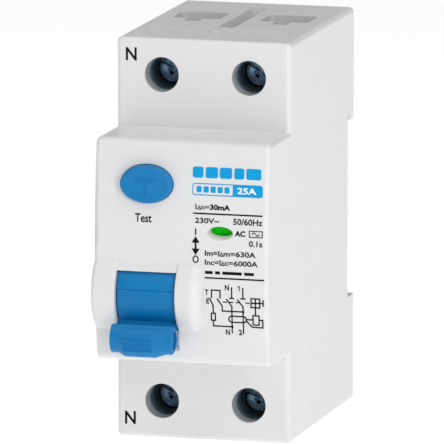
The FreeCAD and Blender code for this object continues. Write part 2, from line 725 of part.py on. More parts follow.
def relay_coil():
    bobbin = depth_rod(4.0, PLUNGER_X, (-48.6, -39.4), -14.0)
    return bobbin.cut(depth_rod(1.6, PLUNGER_X, (-49.0, -39.0), -14.0))


def relay_magnet():
    return box((PLUNGER_X - 3.0, PLUNGER_X + 3.0), (-54.6, -49.6), (-19.2, -15.4))


def relay_plunger():
    foot = rod(2.2, (PLUNGER_X, PLUNGER_Y, -13.6), (PLUNGER_X, PLUNGER_Y, -12.6))
    stem = rod(PLUNGER_R, (PLUNGER_X, PLUNGER_Y, -13.6), (PLUNGER_X, PLUNGER_Y, PLUNGER_TOP))
    return fuse([foot, stem])


def trip_lever():
    tube = cross_rod(1.6, (-1.8, 11.6), TRIP_Y, TRIP_Z)
    paddle = box((PLUNGER_X - 2.0, PLUNGER_X + 2.0), (-54.0, TRIP_Y), (TRIP_Z - 1.3, TRIP_Z - 0.1))
    finger = box((-1.8, -0.6), (TRIP_Y - 0.6, TRIP_Y + 0.6), (TRIP_Z - 7.0, TRIP_Z))
    bore = cross_rod(TRIP_AXLE_R + RUNNING, (-6, 13), TRIP_Y, TRIP_Z)
    return fuse([tube, paddle, finger]).cut(bore)


def trip_axle():
    return cross_rod(TRIP_AXLE_R, (-2.8, SEAM_X), TRIP_Y, TRIP_Z)


# ---- indicator ----
def indicator_flag():
    panel = box((FLAG_X - 3.8, FLAG_X + 3.8), (FLAG_FRONT, FLAG_FRONT + FLAG_THICK), (2.9, 11.5))
    inlay = box((FLAG_X - 3.2, FLAG_X + 3.2), (FLAG_FRONT - 1, FLAG_FRONT + 0.4), (7.3, 11.3))
    stem = box((FLAG_X - 0.8, FLAG_X + 0.8), (FLAG_FRONT, FLAG_FRONT + FLAG_THICK), (-2.0, 3.0))
    return fuse([panel, stem]).cut(inlay)


def indicator_red_field():
    return box((FLAG_X - 3.2, FLAG_X + 3.2), (FLAG_FRONT, FLAG_FRONT + 0.4), (7.3, 11.3))


# ---- test circuit ----
def test_button():
    cap = oval(BUTTON_WIDE, BUTTON_HIGH, BUTTON_X, BUTTON_Z, (BUTTON_FRONT, -58.6))
    rim = [e for e in cap.Edges if e.BoundBox.YMax < BUTTON_FRONT + 0.01]
    cap = cap.makeFillet(0.5, rim)
    flange = oval(BUTTON_WIDE + 2 * BUTTON_FLANGE, BUTTON_HIGH + 2 * BUTTON_FLANGE,
                  BUTTON_X, BUTTON_Z, (-59.0, -58.0))
    stem = depth_rod(STEM_R, BUTTON_X, (-58.5, STEM_END), BUTTON_Z)
    bar = box((BUTTON_X - 1.95, BUTTON_X + 1.95), (BUTTON_FRONT - 1, BUTTON_FRONT + LETTER_DEPTH),
              (BUTTON_Z + 0.75, BUTTON_Z + 1.45))
    post = box((BUTTON_X - 0.3, BUTTON_X + 0.3), (BUTTON_FRONT - 1, BUTTON_FRONT + LETTER_DEPTH),
               (BUTTON_Z - 2.25, BUTTON_Z + 0.9))
    return fuse([cap, flange, stem]).cut(fuse([bar, post]))


def test_button_spring():
    return coil(2.9, 0.3, 5, (BUTTON_X, -57.65, BUTTON_Z), (0, 1, 0), 5.3)


def test_contact_strip():
    strip = box((-9.0, -4.6), (-48.2, -47.9), (10.0, 18.5))
    foot = box((-9.0, -4.6), (-47.9, -42.0), (18.2, 18.5))
    return fuse([strip, foot])


def test_resistor():
    body = rod(1.7, (-13.4, -45.6, 5.0), (-13.4, -45.6, 15.0))
    leads = rod(0.35, (-13.4, -45.6, 2.4), (-13.4, -45.6, 17.6))
    return fuse([body, leads])


# ---- rail clip ----
def rail_clip():
    """Sliding foot with a nose that grips the lower rail edge."""
    front, back = CLIP_Y
    slab = outline(((front, CLIP_END), (back, CLIP_END), (back, CLIP_TOP - 3.4), (front + 0.5, CLIP_TOP),
                    (front, CLIP_TOP)), (-CLIP_HALF, CLIP_HALF))
    window = box((-2.0, 2.0), (front - 1, back + 1), CLIP_WINDOW)
    tool_slot = box((-3.0, 3.0), (front + 0.9, back + 1), (-38.6, -37.0))
    return slab.cut(fuse([window, tool_slot]))


def rail_clip_spring():
    return coil(1.1, 0.2, 6, (0, (CLIP_Y[0] + CLIP_Y[1]) / 2, LEDGE_Z[1] + 0.25), (0, 0, 1),
                CLIP_WINDOW[1] - LEDGE_Z[1] - 0.5)


# ---- the assembly ----
def assembly():
    outside = shell_outside()
    parts = {
        "main_housing": main_housing(outside),
        "side_cover": side_cover(outside),
        "housing_rivets": housing_rivets(),
        "screw_sleeves": screw_sleeves(),
        "toggle": toggle(),
        "toggle_axle": toggle_axle(),
        "toggle_spring": toggle_spring(),
        "link_wire": link_wire(),
        "latch_lever": latch_lever(),
        "latch_axle": latch_axle(),
        "mechanism_frame": mechanism_frame(),
        "fixed_contacts": fixed_contacts(),
        "contact_carrier": contact_carrier(),
        "contact_shaft": contact_shaft(),
        "contact_springs": contact_springs(),
        "contact_braids": contact_braids(),
        "arc_plates": arc_plates(),
        "arc_plate_holders": arc_holders(),
        "transformer_core": transformer_core(),
        "secondary_winding": secondary_winding(),
        "relay_case": relay_case(),
        "relay_coil": relay_coil(),
        "relay_magnet": relay_magnet(),
        "relay_plunger": relay_plunger(),
        "trip_lever": trip_lever(),
        "trip_lever_axle": trip_axle(),
        "indicator_flag": indicator_flag(),
        "indicator_red_field": indicator_red_field(),
        "test_button": test_button(),
        "test_button_spring": test_button_spring(),
        "test_contact_strip": test_contact_strip(),
        "test_resistor": test_resistor(),
        "rail_clip": rail_clip(),
        "rail_clip_spring": rail_clip_spring(),
    }
    for pole, x in zip(("neutral", "phase"), POLE_X):
        parts["moving_contact_" + pole] = moving_contact(x)
        parts["primary_conductor_" + pole] = primary_conductor(x)
        for end, side, z in zip(("line", "load"), SIDES, SCREW_Z):
            name = end + "_" + pole
            parts["terminal_screw_" + name] = terminal_screw(x, z)
            parts["terminal_cage_" + name] = terminal_cage(x, z)
            parts["terminal_bar_" + name] = terminal_bar(x, side)
    return parts


def main():
    os.makedirs("parts", exist_ok=True)
    for name, shape in assembly().items():
        shape.exportStep("parts/" + name + ".step")
        print(name, len(shape.Solids), shape.isValid(), round(shape.Volume, 2))


main()
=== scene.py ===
import json
import math

import bmesh
import bpy
from mathutils import Matrix, Vector


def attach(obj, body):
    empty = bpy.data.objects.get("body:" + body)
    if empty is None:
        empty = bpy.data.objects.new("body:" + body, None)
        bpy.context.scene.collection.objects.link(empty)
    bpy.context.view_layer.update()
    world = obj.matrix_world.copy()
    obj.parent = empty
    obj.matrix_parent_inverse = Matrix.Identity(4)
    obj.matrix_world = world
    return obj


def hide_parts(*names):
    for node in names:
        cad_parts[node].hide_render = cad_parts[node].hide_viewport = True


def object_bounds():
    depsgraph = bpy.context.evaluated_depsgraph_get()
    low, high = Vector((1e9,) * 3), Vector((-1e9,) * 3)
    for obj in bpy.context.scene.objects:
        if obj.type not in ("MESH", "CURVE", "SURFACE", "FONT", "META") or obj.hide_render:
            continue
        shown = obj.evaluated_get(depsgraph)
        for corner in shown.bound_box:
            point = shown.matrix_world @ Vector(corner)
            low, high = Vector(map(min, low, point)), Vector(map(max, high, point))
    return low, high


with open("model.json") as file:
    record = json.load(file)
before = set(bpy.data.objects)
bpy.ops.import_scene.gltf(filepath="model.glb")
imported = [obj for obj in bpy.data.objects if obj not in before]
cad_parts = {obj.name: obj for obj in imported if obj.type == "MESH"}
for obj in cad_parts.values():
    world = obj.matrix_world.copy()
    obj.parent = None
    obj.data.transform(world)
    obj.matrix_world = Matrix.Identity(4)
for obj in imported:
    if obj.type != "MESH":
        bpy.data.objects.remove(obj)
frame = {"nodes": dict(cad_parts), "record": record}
CAD_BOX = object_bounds()
NODES = frame["nodes"]
SLOT_OF = {s["node"]: s["material_slot"] for s in frame["record"]["subparts"]}

MM = 0.001

# ---- nose front: a shallow arc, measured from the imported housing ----
NOSE_TOP, NOSE_BOTTOM = 22.8, -22.2
NOSE_EDGE, NOSE_CROWN = -61.0, -62.6
SHOULDER = -45.5


def nose_y(z):
    """Depth in millimetres of the bowed nose front at height z."""
    middle = (NOSE_TOP + NOSE_BOTTOM) / 2
    half = (NOSE_TOP - NOSE_BOTTOM) / 2
    sag = NOSE_EDGE - NOSE_CROWN
    radius = (half ** 2 + sag ** 2) / (2 * sag)
    return NOSE_CROWN + radius - math.sqrt(radius ** 2 - (z - middle) ** 2)


# ---- materials ----
class Nodes:
    """A small builder of node trees: one Principled shader and what feeds it."""

    def __init__(self, name):
        self.material = bpy.data.materials.new(name)
        self.material.use_nodes = True
        self.tree = self.material.node_tree
        self.shader = self.tree.nodes["Principled BSDF"]
        self.place = self.add("ShaderNodeTexCoord").outputs["Object"]

    def add(self, kind, **settings):
        node = self.tree.nodes.new(kind)
        for key, value in settings.items():
            setattr(node, key, value)
        return node

    def link(self, output, socket):
        self.tree.links.new(output, socket)

    def noise(self, scale, detail=2.0, stretch=None):
        source = self.place
        if stretch:
            mapping = self.add("ShaderNodeMapping")
            mapping.inputs["Scale"].default_value = stretch
            self.link(source, mapping.inputs["Vector"])
            source = mapping.outputs["Vector"]
        node = self.add("ShaderNodeTexNoise")
        node.inputs["Scale"].default_value = scale
        node.inputs["Detail"].default_value = detail
        self.link(source, node.inputs["Vector"])
        return node.outputs["Fac"]

    def spread(self, value, low, high):
        """The 0.3 to 0.7 band of a noise, mapped to low and high."""
        node = self.add("ShaderNodeMapRange")
        node.inputs["From Min"].default_value = 0.3
        node.inputs["From Max"].default_value = 0.7
        node.inputs["To Min"].default_value = low
        node.inputs["To Max"].default_value = high
        self.link(value, node.inputs["Value"])
        return node.outputs["Result"]

    def tint(self, value, dark, light):
        node = self.add("ShaderNodeValToRGB")
        node.color_ramp.elements[0].position = 0.3
        node.color_ramp.elements[0].color = (*dark, 1)
        node.color_ramp.elements[1].position = 0.7
        node.color_ramp.elements[1].color = (*light, 1)
        self.link(value, node.inputs["Fac"])
        self.link(node.outputs["Color"], self.shader.inputs["Base Color"])

    def bump(self, value, height, strength=1.0):
        node = self.add("ShaderNodeBump")
        node.inputs["Strength"].default_value = strength
        node.inputs["Distance"].default_value = height
        self.link(value, node.inputs["Height"])
        self.link(node.outputs["Normal"], self.shader.inputs["Normal"])


def shade(color, amount):
    return tuple(min(1.0, c * (1 + amount)) for c in color)


def moulded(name, color, rough, grain=2600.0, depth=0.000006, vary=0.02, **sockets):
    """Moulded plastic: a fine spark-eroded grain, slight flow variation and uneven gloss."""
    n = Nodes(name)
    n.tint(n.noise(35.0, 3.0), shade(color, -vary), shade(color, vary))
    n.link(n.spread(n.noise(260.0, 2.0), rough - 0.04, rough + 0.05), n.shader.inputs["Roughness"])
    n.bump(n.noise(grain, 3.0), depth, 0.6)
    for key, value in sockets.items():
        n.shader.inputs[key.replace("_", " ")].default_value = value
    return n.material


def metal(name, color, rough, stretch=(1, 1, 1), grain=900.0, depth=0.000004, vary=0.08):
    """Metal with rolled or turned streaks along one direction."""
    n = Nodes(name)
    n.shader.inputs["Metallic"].default_value = 1.0
    n.tint(n.noise(120.0, 4.0), shade(color, -vary), shade(color, vary))
    n.link(n.spread(n.noise(grain, 3.0, stretch), rough - 0.1, rough + 0.12), n.shader.inputs["Roughness"])
    n.bump(n.noise(grain, 2.0, stretch), depth, 0.5)
    return n.material


WHITE = (0.755, 0.755, 0.755)
BLUE = (0.001, 0.19, 0.47)
MATERIALS = {
    "white_plastic": moulded("white_plastic", WHITE, 0.33, vary=0.006),
    "blue_plastic": moulded("blue_plastic", BLUE, 0.46, vary=0.03, Specular_IOR_Level=0.28),
    "black_plastic": moulded("black_plastic", (0.035, 0.036, 0.04), 0.45, vary=0.1),
    # grey plastic; the hole linings further down use it as painted shade on the white hole walls
    "grey_plastic": moulded("grey_plastic", (0.42, 0.43, 0.44), 0.48, vary=0.03),
    "dark_sleeve": moulded("dark_sleeve", (0.1, 0.14, 0.175), 0.3, vary=0.08),
    "green_plastic": moulded("green_plastic", (0.0, 0.8, 0.0), 0.5, vary=0.04, Specular_IOR_Level=0.15),
    "red_plastic": moulded("red_plastic", (0.6, 0.02, 0.02), 0.3, vary=0.04),
    "core_case": moulded("core_case", (0.12, 0.13, 0.15), 0.5, vary=0.08),
    "fibre": moulded("fibre", (0.3, 0.11, 0.06), 0.6, grain=1800.0, depth=0.00001, vary=0.12),
    "magnet": moulded("magnet", (0.09, 0.09, 0.1), 0.55, grain=1500.0, depth=0.00001, vary=0.15),
    "enamelled_wire": moulded("enamelled_wire", (0.36, 0.1, 0.03), 0.25, vary=0.15),
    "resistor": moulded("resistor", (0.35, 0.5, 0.3), 0.28, vary=0.06),
    "steel": metal("steel", (0.6, 0.61, 0.63), 0.32, (1, 1, 6)),
    "rivet_steel": metal("rivet_steel", (0.66, 0.66, 0.66), 0.3),
    "spring_steel": metal("spring_steel", (0.5, 0.51, 0.53), 0.28),
    "relay_can": metal("relay_can", (0.62, 0.61, 0.58), 0.3, (1, 6, 1)),
    "silver": metal("silver", (0.8, 0.79, 0.76), 0.25),
    "copper": metal("copper", (0.78, 0.38, 0.23), 0.3, (1, 1, 6)),
    "spring_brass": metal("spring_brass", (0.75, 0.57, 0.26), 0.3, (6, 1, 1)),
    "zinc_screw": metal("zinc_screw", (0.13, 0.21, 0.31), 0.3, vary=0.25),
    "zinc_cage": metal("zinc_cage", (0.5, 0.52, 0.54), 0.35, (6, 1, 1)),
}
INK_BLACK = moulded("ink_black", (0.003, 0.003, 0.003), 0.6, vary=0.15, Specular_IOR_Level=0.12)
INK_BLUE = moulded("ink_blue", (0.0, 0.33, 0.69), 0.6, vary=0.04, Specular_IOR_Level=0.2)
INK_WHITE = moulded("ink_white", (0.86, 0.87, 0.88), 0.5, vary=0.01)

for node, obj in NODES.items():
    obj.data.materials.clear()
    obj.data.materials.append(MATERIALS[SLOT_OF[node]])


# ---- printed marks: thin raised ink on the front ----
INK_LIFT = 0.012
INK_THICK = 0.02
INK_STEP = 0.0004            # each stroke is this much thicker than the last, so none lie in one plane
STROKE_OVERRUN = 0.8         # a stroke runs past its ends by this share of half its width


def front_piece(name, mesh, material, surface, lift=INK_LIFT):
    """Turns a flat drawing (x right, y up, millimetres, z towards the viewer) on to the front."""
    for v in mesh.vertices:
        x, up, out = v.co
        v.co = Vector((x, surface(up) - lift - out, up)) * MM
    mesh.materials.clear()
    mesh.materials.append(material)
    mesh.update()
    obj = bpy.data.objects.new(name, mesh)
    bpy.context.scene.collection.objects.link(obj)
    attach(obj, "housing")
    return obj


def lettering(name, text, box, surface=nose_y, material=None, bold=0.0, lift=INK_LIFT):
    """Text that fills box = (x0, x1, z0, z1), as thin solid letters."""
    curve = bpy.data.curves.new(name, "FONT")
    curve.body = text
    curve.size = 1.0
    curve.offset = bold
    curve.resolution_u = 3
    helper = bpy.data.objects.new(name + "_curve", curve)
    bpy.context.scene.collection.objects.link(helper)
    bpy.context.view_layer.update()
    mesh = bpy.data.meshes.new_from_object(helper)
    bpy.data.objects.remove(helper)
    xs = [v.co.x for v in mesh.vertices]
    ys = [v.co.y for v in mesh.vertices]
    x0, x1, z0, z1 = box
    sx = (x1 - x0) / (max(xs) - min(xs))
    sy = (z1 - z0) / (max(ys) - min(ys))
    left, low = min(xs), min(ys)
    for v in mesh.vertices:
        v.co = Vector((x0 + (v.co.x - left) * sx, z0 + (v.co.y - low) * sy, 0.0))
    bm = bmesh.new()
    bm.from_mesh(mesh)
    bmesh.ops.remove_doubles(bm, verts=bm.verts, dist=1e-5)
    thicken(bm)
    bm.to_mesh(mesh)
    bm.free()
    return front_piece(name, mesh, material or INK_BLACK, surface, lift)


def thicken(bm):
    """Gives flat faces in the z = 0 plane a back and an edge, so the ink is a closed solid."""
    made = bmesh.ops.extrude_face_region(bm, geom=bm.faces[:])
    for item in made["geom"]:
        if isinstance(item, bmesh.types.BMVert):
            item.co.z += INK_THICK
    bmesh.ops.recalc_face_normals(bm, faces=bm.faces[:])


class Drawing:
    """Closed ink strokes and filled shapes gathered in one flat mesh."""

    def __init__(self):
        self.bm = bmesh.new()
        self.count = 0

    def fill(self, points):
        self.count += 1
        top = INK_THICK + INK_STEP * self.count
        low = [self.bm.verts.new((x, y, 0)) for x, y in points]
        high = [self.bm.verts.new((x, y, top)) for x, y in points]
        self.bm.faces.new(high)
        self.bm.faces.new(low[::-1])
        for i in range(len(points)):
            j = (i + 1) % len(points)
            self.bm.faces.new((low[i], low[j], high[j], high[i]))

    def bar(self, x0, x1, y0, y1):
        self.fill([(x0, y0), (x1, y0), (x1, y1), (x0, y1)])

    def stroke(self, points, width):
        for (ax, ay), (bx, by) in zip(points, points[1:]):
            run = Vector((bx - ax, by - ay))
            along = run.normalized() * (width / 2)
            side = Vector((-along.y, along.x))
            a = Vector((ax, ay)) - along * STROKE_OVERRUN
            b = Vector((bx, by)) + along * STROKE_OVERRUN
            self.fill([tuple(a - side), tuple(b - side), tuple(b + side), tuple(a + side)])

    def ring(self, x, y, rx, ry, width, steps=28):
        path = [(x + rx * math.cos(2 * math.pi * i / steps), y + ry * math.sin(2 * math.pi * i / steps))
                for i in range(steps)]
        self.band(path, width)

    def band(self, path, width):
        """A closed outline of constant width as one joined solid."""
        count = len(path)
        inner, outer = [], []
        for i in range(count):
            before, here, after = (Vector(path[(i + k) % count]) for k in (-1, 0, 1))
            first, second = (here - before).normalized(), (after - here).normalized()
            middle = Vector((-(first.y + second.y), first.x + second.x)).normalized()
            spread = width / 2 / max(0.4, middle.dot(Vector((-second.y, second.x))))
            inner.append(here + middle * spread)
            outer.append(here - middle * spread)
        rows = []
        for ring_points, z in ((outer, 0), (outer, INK_THICK), (inner, INK_THICK), (inner, 0)):
            rows.append([self.bm.verts.new((p.x, p.y, z)) for p in ring_points])
        for k in range(4):
            a, b = rows[k], rows[(k + 1) % 4]
            for i in range(count):
                j = (i + 1) % count
                self.bm.faces.new((a[i], a[j], b[j], b[i]))

    def disc(self, x, y, r, steps=16):
        self.fill([(x + r * math.cos(2 * math.pi * i / steps), y + r * math.sin(2 * math.pi * i / steps))
                   for i in range(steps)])

    def piece(self, name, material, surface=nose_y, lift=INK_LIFT):
        bmesh.ops.recalc_face_normals(self.bm, faces=self.bm.faces[:])
        mesh = bpy.data.meshes.new(name)
        self.bm.to_mesh(mesh)
        self.bm.free()
        return front_piece(name, mesh, material, surface, lift)


def round_box(x0, x1, y0, y1, r, steps=5, corners=(1, 1, 1, 1)):
    """Outline of a box with rounded corners: lower right, upper right, upper left, lower left."""
    points = []
    centres = ((x1 - r, y0 + r, -90), (x1 - r, y1 - r, 0), (x0 + r, y1 - r, 90), (x0 + r, y0 + r, 180))
    sharp = ((x1, y0), (x1, y1), (x0, y1), (x0, y0))
    for (cx, cy, start), corner, on in zip(centres, sharp, corners):
        if not on:
            points.append(corner)
            continue
        for i in range(steps + 1):
            a = math.radians(start + 90 * i / steps)
            points.append((cx + r * math.cos(a), cy + r * math.sin(a)))
    return points


def shoulder(_):
    return SHOULDER


def printed_label():
    blocks = Drawing()
    for x0, x1 in ((2.3, 4.5), (4.95, 7.5), (7.85, 10.4), (10.85, 12.9), (13.3, 16.4)):
        blocks.fill(round_box(x0, x1, 15.75, 17.95, 0.45))
    blocks.piece("label_title_blocks", INK_BLUE)
    badge = Drawing()
    badge.band(round_box(2.4, 16.7, 12.35, 14.6, 0.45), 0.2)
    badge.fill(round_box(10.6, 16.7, 12.35, 14.6, 0.45, corners=(1, 1, 0, 0)))
    for x0 in (3.15, 4.6, 6.05, 7.5, 8.9):
        badge.fill(round_box(x0, x0 + 1.05, 12.85, 14.1, 0.25))
    badge.piece("label_badge", INK_BLUE)
    lettering("label_rated_current", "25A", (11.5, 15.5, 12.82, 14.12), material=INK_WHITE, bold=0.035,
              lift=INK_LIFT + 0.03)
    for name, text, box, bold in (
        ("residual_sign", "I", (2.97, 3.22, 9.45, 10.5), 0.0),
        ("residual_unit", "n=", (4.2, 5.85, 9.45, 10.2), 0.02),
        ("residual_current", "30mA", (6.0, 10.15, 9.42, 10.55), 0.042),
        ("voltage", "230V~", (2.95, 7.95, 6.7, 7.8), 0.022),
        ("frequency", "50/60Hz", (10.8, 16.8, 6.65, 7.95), 0.022),
        ("type", "AC", (11.15, 13.3, 4.35, 5.5), 0.045),
        ("delay", "0.1s", (14.05, 16.8, 2.4, 3.6), 0.022),
        ("making_sign", "Im=I", (5.0, 8.0, 0.2, 1.3), 0.022),
        ("making_capacity", "m=630A", (8.85, 15.45, 0.2, 1.3), 0.022),
        ("short_circuit_sign", "Inc=I", (5.0, 8.25, -1.65, -0.55), 0.022),
        ("short_circuit_capacity", "c=6000A", (9.05, 15.9, -1.65, -0.55), 0.022),
        ("test", "Test", (-9.45, -6.0, 6.35, 8.1), 0.016),
    ):
        lettering("label_" + name, text, box, bold=bold)
    rules = Drawing()
    rules.bar(2.5, 16.8, 8.5, 8.8)
    rules.bar(4.95, 17.2, -4.4, -4.1)
    for x0, x1 in ((5.05, 6.6), (7.1, 8.1), (8.6, 12.6), (13.1, 15.1)):
        rules.bar(x0, x1, -3.45, -2.85)
    for x0, x1, z0, z1 in ((3.4, 4.1, 9.5, 10.15), (8.13, 8.75, 0.25, 0.95), (8.37, 8.97, -1.6, -0.9)):
        rules.band([(x0, z0), (x1, z0), ((x0 + x1) / 2, z1)], 0.16)
    rules.bar(2.96, 3.24, 4.3, 5.6)
    rules.ring(3.1, -0.6, 0.52, 0.64, 0.24)
    rules.band([(14.15, 4.35), (16.8, 4.35), (16.8, 5.55), (14.15, 5.55)], 0.18)
    wave = [(14.7 + 0.1 * i, 4.95 + 0.3 * math.sin(i * 2 * math.pi / 15)) for i in range(16)]
    rules.stroke(wave, 0.18)
    rules.fill([(3.1, 4.05), (2.3, 2.75), (3.9, 2.75)])
    rules.fill([(3.1, 0.25), (3.9, 1.55), (2.3, 1.55)])
    rules.bar(2.92, 3.28, 1.5, 2.8)
    rules.piece("label_rules_and_arrow", INK_BLACK)


def wiring_diagram():
    """The device's own circuit: test branch, four switched contacts, core, relay and mechanism."""
    d = Drawing()
    line = 0.27
    test, second, neutral, phase = 6.63, 8.49, 10.47, 12.78
    supply, contact, blade_end, tap, load = -6.03, -8.2, -9.83, -10.87, -15.27

    # bracket that joins the two test contacts
    d.stroke([(6.32, -8.25), (6.32, -6.7), (8.08, -6.7), (8.08, -8.25)], line)
    # switched blades, drawn open, and what each one feeds
    branches = ((test, 0.72, -11.41), (second, 1.03, tap), (neutral, 1.05, load), (phase, 1.1, load))
    for x, lean, end in branches:
        d.stroke([(x - lean, contact - 0.24), (x, blade_end), (x, end)], line)
    d.stroke([(second, tap), (phase, tap)], line)
    # fixed contacts of the two poles
    for x, left, right in ((neutral, 0.41, 0.41), (phase, 0.46, 0.45)):
        d.stroke([(x, supply), (x, contact)], line)
        d.stroke([(x - left, contact), (x + right, contact)], line)
    # test resistor and its return to the neutral
    bottom = -14.0
    d.stroke([(test, -12.85), (test, bottom), (neutral, bottom)], line)
    # mechanism, with its output to the right and its link down to the relay
    d.stroke([(14.45, -8.97), (16.24, -8.97), (16.94, -8.97)], line)
    d.stroke([(16.94, -8.35), (16.94, -9.5)], line)
    d.stroke([(15.33, -8.07), (15.33, -11.54)], line)
    # core winding to the relay
    d.stroke([(13.44, -12.39), (14.8, -12.39)], line)
    d.stroke([(13.44, -12.68), (14.57, -13.87), (16.8, -13.95), (16.8, -12.4), (16.03, -12.4)], line)
    # dashed mechanical link between the blades
    for x0, x1 in ((8.69, 9.44), (9.97, 10.71), (11.37, 12.12), (13.35, 14.14)):
        d.stroke([(x0, -9.02), (x1, -9.02)], line * 0.8)
    for x0, x1, z0, z1 in (
        (6.22, 7.04, -12.86, -11.42),    # resistor
        (14.45, 16.24, -9.88, -8.07),    # mechanism
        (14.8, 16.03, -13.41, -11.54),   # relay
    ):
        d.band([(x0, z0), (x1, z0), (x1, z1), (x0, z1)], line)
    # summation core round both poles
    core_z, core_r = -12.45, 0.62
    loop = []
    for centre, start in ((12.82, 90), (10.43, 270)):
        for i in range(9):
            angle = math.radians(start - 180 * i / 8)
            loop.append((centre + core_r * math.cos(angle), core_z + core_r * math.sin(angle)))
    d.band(loop[::-1], line)
    d.disc(phase, tap, 0.28)
    d.disc(neutral, bottom, 0.28)
    # figure 1
    d.stroke([(11.77, -5.92), (12.05, -5.67), (12.05, -6.56)], 0.17)
    d.piece("wiring_diagram", INK_BLACK)
    for name, text, box in (
        ("t", "T", (4.98, 5.68, -7.76, -6.62)),
        ("e", "E", (5.23, 5.81, -9.52, -8.39)),
        ("n_line", "N", (9.07, 9.93, -6.65, -5.51)),
        ("n_load", "N", (9.11, 9.97, -15.73, -14.59)),
        ("two", "2", (11.79, 12.51, -15.67, -14.53)),
    ):
        lettering("diagram_" + name, text, box, bold=0.03)


printed_label()
wiring_diagram()
lettering("mark_neutral_line", "N", (-16.1, -13.85, 36.05, 38.7), surface=shoulder, bold=0.02)
lettering("mark_neutral_load", "N", (-16.4, -14.15, -38.15, -35.5), surface=shoulder, bold=0.02)

# ---- toggle: hub and neck, and a blade-like grip with soft ends and moulded ribs ----
TOGGLE_AXIS = (-56.7, -8.4)
HUB_R = 7.8
HUB_X = (-12.8, -0.8)
GRIP_X = (-13.25, -0.35)
EDGE = 0.35
FRONT_STEPS = 96
FRONT_RUN = 6.1              # nominal length of the grip's front arc, on which the ribs are spaced
GROOVES = ((-7.1, 0.2, 0.14), (-7.75, 0.06, 0.1), (-8.2, 0.05, 0.1))   # height, depth, half width
GROOVED_ARC = math.radians(80)   # the arc above the neck is drawn finely, for the grooves
LINK_ROOM = (-8.0, -5.6)
CRANK_R, CRANK_RISE = 4.0, math.radians(30)
GRIP_DROP = 0.75             # how much lower the middle of the grip ends than its sides
GRIP_SLOPES = ((-11.6, 1.4), (-1.9, 2.1))   # where each side starts to drop, and over what width
RIB_RUN = (2.1, 5.0)
RIB_X = (-10.7, -4.0)
RIB_FADE = 0.5
RIB_HEIGHT = 0.17
RIB_PITCH = 0.41


def smooth(t):
    t = max(0.0, min(1.0, t))
    return t * t * (3 - 2 * t)


def arc_points(first, middle, last, count):
    """Points along the circle through three points, last one left out."""
    ax, ay = first
    bx, by = middle
    cx, cy = last
    d = 2 * (ax * (by - cy) + bx * (cy - ay) + cx * (ay - by))
    a2, b2, c2 = ax ** 2 + ay ** 2, bx ** 2 + by ** 2, cx ** 2 + cy ** 2
    ux = (a2 * (by - cy) + b2 * (cy - ay) + c2 * (ay - by)) / d
    uy = (a2 * (cx - bx) + b2 * (ax - cx) + c2 * (bx - ax)) / d
    r = math.hypot(ax - ux, ay - uy)
    begin, through, end = (math.atan2(y - uy, x - ux) for x, y in (first, middle, last))
    span = (end - begin) % (2 * math.pi)
    if (through - begin) % (2 * math.pi) > span:
        span -= 2 * math.pi
    angles = [begin + span * i / count for i in range(count)]
    return [(ux + r * math.cos(angle), uy + r * math.sin(angle)) for angle in angles]


def grip_outline(deep):
    """Side view (y, z) of the grip; deep lowers its free end."""
    top_back, top_front = (-65.95, -13.8), (-66.85, -14.15)
    tip_front, tip_back = (-67.15 - 0.35 * deep, -19.2 - deep), (-66.4, -19.32 - deep)
    points = arc_points(top_front, (-68.3 - 0.6 * deep, -16.9), tip_front, FRONT_STEPS)
    points += arc_points(tip_front, (-66.8, -19.4 - deep), tip_back, 4)
    points += arc_points(tip_back, (-64.7, -18.75 - deep), (-63.4, -16.8), 10)
    points += arc_points((-63.4, -16.8), (-64.3, -15.5), top_back, 10)
    points += arc_points(top_back, (-66.45, -13.78), top_front, 5)
    return points


def hub_outline(groove):
    """Side view of the hub, with a shallow parting groove, and the neck that carries the grip."""
    cy, cz = TOGGLE_AXIS
    low, high = (-61.35, -14.65), (-62.55, -13.55)
    start = math.atan2(low[1] - cz, low[0] - cy)
    end = math.atan2(high[1] - cz, high[0] - cy)
    fine_from = end - GROOVED_ARC + 2 * math.pi
    angles = [start + (fine_from - start) * i / 56 for i in range(56)]
    angles += [fine_from + GROOVED_ARC * i / 110 for i in range(111)]
    points = []
    for angle in angles:
        r = HUB_R
        for z, depth, width in GROOVES:
            if math.cos(angle) < 0:
                r -= groove * depth * math.exp(-((cz + HUB_R * math.sin(angle) - z) / width) ** 2)
        points.append((cy + r * math.cos(angle), cz + r * math.sin(angle)))
    neck = [(-63.2, -14.25), (-64.3, -14.8), (-65.6, -14.9), (-65.6, -16.4), (-63.9, -16.35), (-62.6, -15.6)]
    return points + neck


def new_piece(name, mesh, material, body, slot, *replaced):
    mesh.materials.clear()
    mesh.materials.append(material)
    obj = bpy.data.objects.new(name, mesh)
    bpy.context.scene.collection.objects.link(obj)
    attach(obj, body)
    if replaced:
        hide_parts(*replaced)
    return obj


def swept(rows):
    """A closed solid through rows of points that all have the same count."""
    bm = bmesh.new()
    rings = [[bm.verts.new(Vector(p) * MM) for p in row] for row in rows]
    count = len(rows[0])
    for a, b in zip(rings, rings[1:]):
        for i in range(count):
            j = (i + 1) % count
            bm.faces.new((a[i], a[j], b[j], b[i]))
    bm.faces.new(rings[0][::-1])
    bm.faces.new(rings[-1])
    bmesh.ops.recalc_face_normals(bm, faces=bm.faces[:])
    return bm


def block(*spans):
    """A box from its x, y and z spans, as a cutter."""
    bm = bmesh.new()
    bmesh.ops.create_cube(bm, size=1.0)
    for v in bm.verts:
        v.co = Vector([(low + high) / 2 + c * (high - low) for c, (low, high) in zip(v.co, spans)]) * MM
    return bm


def drum(radius, x, y, z, steps=40):
    """A cylinder along X, as a cutter."""
    angles = [2 * math.pi * i / steps for i in range(steps)]
    return swept([[(px, y + radius * math.cos(a), z + radius * math.sin(a)) for a in angles] for px in x])


def blank_object(bm):
    mesh = bpy.data.meshes.new("blank")
    bm.to_mesh(mesh)
    bm.free()
    obj = bpy.data.objects.new("blank", mesh)
    bpy.context.scene.collection.objects.link(obj)
    return obj


